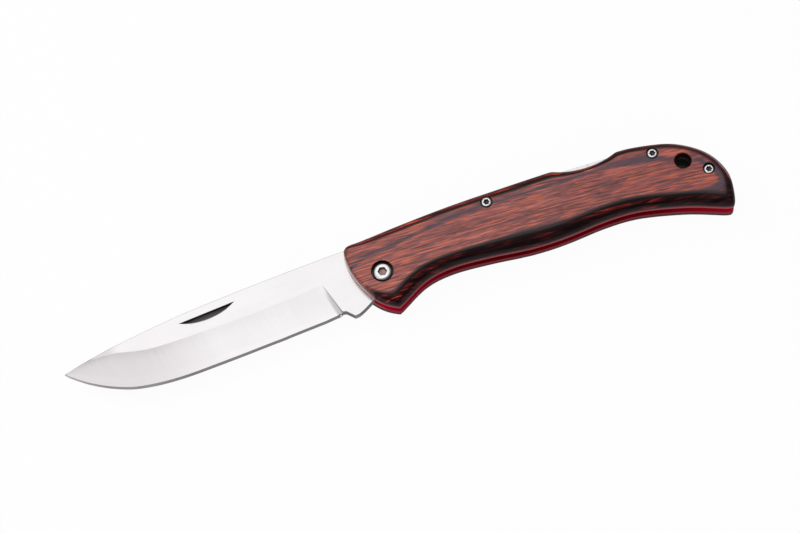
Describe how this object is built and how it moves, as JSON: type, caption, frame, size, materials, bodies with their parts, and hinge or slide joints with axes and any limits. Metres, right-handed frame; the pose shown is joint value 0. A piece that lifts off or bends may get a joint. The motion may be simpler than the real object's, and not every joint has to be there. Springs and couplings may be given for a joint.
{
  "type": "folding pocket knife",
  "caption": "Lock-back folding pocket knife shown open: drop-point blade with nail nick, laminated wood scales over red liners, thumb scallop, screw-built handle and lanyard hole.",
  "frame": {"origin": "middle of the open knife's outline, on the outer face of the rear scale that the knife lies on", "axes": "+X from the blade's tip towards the butt, +Y from the belly towards the spine, +Z out of the front scale"},
  "size_m": [0.2178, 0.0326, 0.014],
  "materials": {
    "laminated_wood": "resin-laminated wood, red-brown and grey streaks, polished and lacquered",
    "red_liner": "red anodised sheet metal, glossy",
    "blade_steel": "fine satin grind, bright flats",
    "bar_steel": "polished steel",
    "spring_steel": "blued spring steel",
    "chromed_screw": "mirror chrome",
    "small_screw": "bright machined steel",
    "bronze_washer": "plain bronze"
  },
  "bodies": {
    "handle": {"scale_front": "laminated_wood", "scale_back": "laminated_wood", "liner_front": "red_liner", "liner_back": "red_liner", "leaf_spring": "spring_steel", "butt_spacer": "bar_steel", "pivot_screw": "chromed_screw", "pivot_barrel": "chromed_screw", "washer_front": "bronze_washer", "washer_back": "bronze_washer", "lock_barrel": "bar_steel", "mid_barrel": "bar_steel", "butt_barrel": "bar_steel", "lock_screw_front": "small_screw", "lock_screw_back": "small_screw", "mid_screw_front": "small_screw", "mid_screw_back": "small_screw", "butt_screw_front": "small_screw", "butt_screw_back": "small_screw"},
    "blade": {"blade": "blade_steel"},
    "lock_bar": {"lock_bar": "bar_steel"}
  },
  "joints": [
    {"name": "blade_pivot", "type": "hinge", "parent": "handle", "child": "blade", "pos_m": [-0.00506, 0.00259, 0.007], "axis": [0, 0, 1], "range_deg": [0, 177]},
    {"name": "lock_bar_pivot", "type": "hinge", "parent": "handle", "child": "lock_bar", "pos_m": [0.03364, 0.01229, 0.007], "axis": [0, 0, -1], "range_deg": [-1.1, 1.2], "stiffness_Nm_per_rad": 0.4, "springref_deg": -6.88, "deforming": ["leaf_spring"]}
  ]
}
